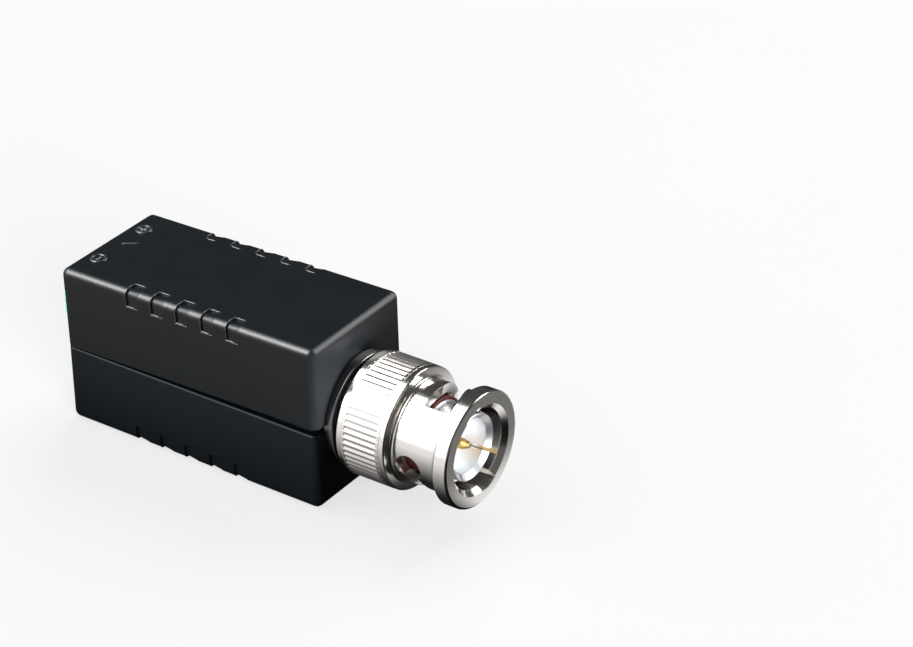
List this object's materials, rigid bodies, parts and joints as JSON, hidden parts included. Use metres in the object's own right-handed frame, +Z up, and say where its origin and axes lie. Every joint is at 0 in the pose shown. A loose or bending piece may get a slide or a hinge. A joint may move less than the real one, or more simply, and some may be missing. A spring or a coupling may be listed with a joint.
{
  "type": "cctv video balun",
  "caption": "inline video balun: split black plastic case with grip recesses, a bayonet coaxial plug on its front face and a push-button terminal for a twisted pair at its back",
  "frame": {"origin": "middle of the overall footprint, on the case's flat underside", "axes": "+X along the plug's axis out of the case, +Z up out of the case's top face, +Y to the plus side"},
  "size_m": [0.0578, 0.017, 0.0211],
  "materials": {
    "case_plastic": "satin",
    "board_laminate": "satin",
    "terminal_green": "satin",
    "button_green": "satin",
    "spring_steel": "satin",
    "contact_metal": "satin",
    "plug_nickel": "polished",
    "ring_nickel": "polished",
    "gasket_silicone": "matte",
    "insulator_white": "satin",
    "pin_gold": "polished",
    "core_ferrite": "matte",
    "winding_copper": "gloss",
    "epoxy_black": "matte",
    "capacitor_resin": "gloss",
    "chip_ceramic": "satin"
  },
  "bodies": {
    "balun": {"lower_shell": "case_plastic", "upper_shell": "case_plastic", "circuit_board": "board_laminate", "terminal_block": "terminal_green", "clamp_spring_plus": "spring_steel", "clamp_spring_minus": "spring_steel", "contact_plus": "contact_metal", "contact_minus": "contact_metal", "plug_body": "plug_nickel", "mount_ring": "plug_nickel", "panel_nut": "plug_nickel", "wave_washer": "spring_steel", "gasket": "gasket_silicone", "insulator": "insulator_white", "centre_pin": "pin_gold", "toroid_core": "core_ferrite", "toroid_winding": "winding_copper", "surge_diode": "epoxy_black", "film_capacitor": "capacitor_resin", "chip_resistors": "chip_ceramic"},
    "ring_slide": {"retaining_clip": "spring_steel"},
    "coupling": {"coupling_ring": "ring_nickel"},
    "button_plus": {"terminal_button_plus": "button_green"},
    "button_minus": {"terminal_button_minus": "button_green"}
  },
  "joints": [
    {"name": "ring_pull", "type": "slide", "parent": "balun", "child": "ring_slide", "axis": [1, 0, 0], "range_m": [0, 0.0006], "stiffness_N_per_m": 8000, "springref_m": -0.0008, "deforming": ["wave_washer"]},
    {"name": "ring_turn", "type": "hinge", "parent": "ring_slide", "child": "coupling", "pos_m": [0.0213, 0, 0.0098], "axis": [1, 0, 0], "continuous": true},
    {"name": "press_plus", "type": "slide", "parent": "balun", "child": "button_plus", "axis": [1, 0, 0], "range_m": [0, 0.0018], "stiffness_N_per_m": 1200, "springref_m": -0.001, "deforming": ["clamp_spring_plus"]},
    {"name": "press_minus", "type": "slide", "parent": "balun", "child": "button_minus", "axis": [1, 0, 0], "range_m": [0, 0.0018], "stiffness_N_per_m": 1200, "springref_m": -0.001, "deforming": ["clamp_spring_minus"]}
  ]
}
